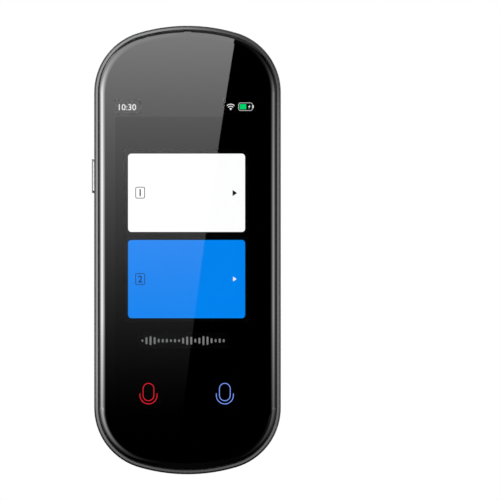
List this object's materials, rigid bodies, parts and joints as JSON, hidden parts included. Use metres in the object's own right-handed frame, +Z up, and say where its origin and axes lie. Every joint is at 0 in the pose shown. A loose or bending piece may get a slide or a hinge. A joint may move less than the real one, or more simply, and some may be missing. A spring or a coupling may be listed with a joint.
{
  "type": "handheld translator",
  "caption": "Slab-shaped handheld voice translator with full-face cover glass, lit touch keys, side power button, rounded metal back with camera and speaker holes, and a USB-C socket.",
  "frame": {"origin": "middle of the body: on its centreline, halfway up its length and halfway through its depth", "axes": "+Z up the long axis, screen facing -Y, back panel facing +Y, power button on the -X side"},
  "size_m": [0.0567, 0.013, 0.1346],
  "materials": {
    "cover_glass": "gloss",
    "frame_metal": "satin",
    "cover_metal": "satin",
    "button_chrome": "polished",
    "trim_metal": "satin",
    "window_glass": "gloss",
    "lens_glass": "gloss",
    "barrel_plastic": "matte",
    "foam": "matte",
    "flex_film": "satin",
    "connector_plastic": "matte",
    "usb_steel": "satin",
    "mesh_cloth": "matte",
    "black_plastic": "matte",
    "contact_gold": "polished",
    "tape": "matte",
    "sensor_film": "gloss",
    "panel_glass": "gloss",
    "light_plastic": "satin",
    "board_green": "satin",
    "lead_rubber": "satin",
    "battery_foil": "satin",
    "plate_metal": "satin",
    "shield_steel": "satin",
    "antenna_ceramic": "matte",
    "screw_steel": "satin"
  },
  "bodies": {
    "housing": {"back_cover": "cover_metal", "backlight": "light_plastic", "battery": "battery_foil", "battery_connector": "connector_plastic", "battery_lead": "lead_rubber", "battery_tape": "tape", "board_link_flex": "flex_film", "bottom_mic_boot": "foam", "bottom_microphone": "shield_steel", "button_board": "flex_film", "camera_barrel": "barrel_plastic", "camera_body": "barrel_plastic", "camera_connector": "connector_plastic", "camera_flex": "flex_film", "camera_gasket": "foam", "camera_lens": "lens_glass", "camera_trim": "trim_metal", "camera_window": "window_glass", "chip_antenna": "antenna_ceramic", "cover_glass": "cover_glass", "display_connector": "connector_plastic", "display_flex": "flex_film", "dome_switch": "shield_steel", "front_frame": "frame_metal", "glass_tape": "tape", "key_light_board": "board_green", "key_light_guides": "light_plastic", "lcd_panel": "panel_glass", "link_connectors": "connector_plastic", "main_board": "board_green", "main_board_screws": "screw_steel", "memory_chip": "black_plastic", "mid_plate": "plate_metal", "plate_screws": "screw_steel", "processor": "black_plastic", "radio_module": "shield_steel", "shield_can": "shield_steel", "speaker": "black_plastic", "speaker_contacts": "contact_gold", "speaker_gasket": "foam", "speaker_mesh": "mesh_cloth", "sub_board": "board_green", "sub_board_screws": "screw_steel", "top_mic_boot": "foam", "top_microphone": "shield_steel", "touch_sensor": "sensor_film", "usb_shell": "usb_steel", "usb_tongue": "connector_plastic"},
    "power_button": {"power_button": "button_chrome"}
  },
  "joints": [
    {"name": "power_button_press", "type": "slide", "parent": "housing", "child": "power_button", "axis": [1, 0, 0], "range_m": [0, 0.0003], "stiffness_N_per_m": 5000, "springref_m": -0.00005}
  ]
}
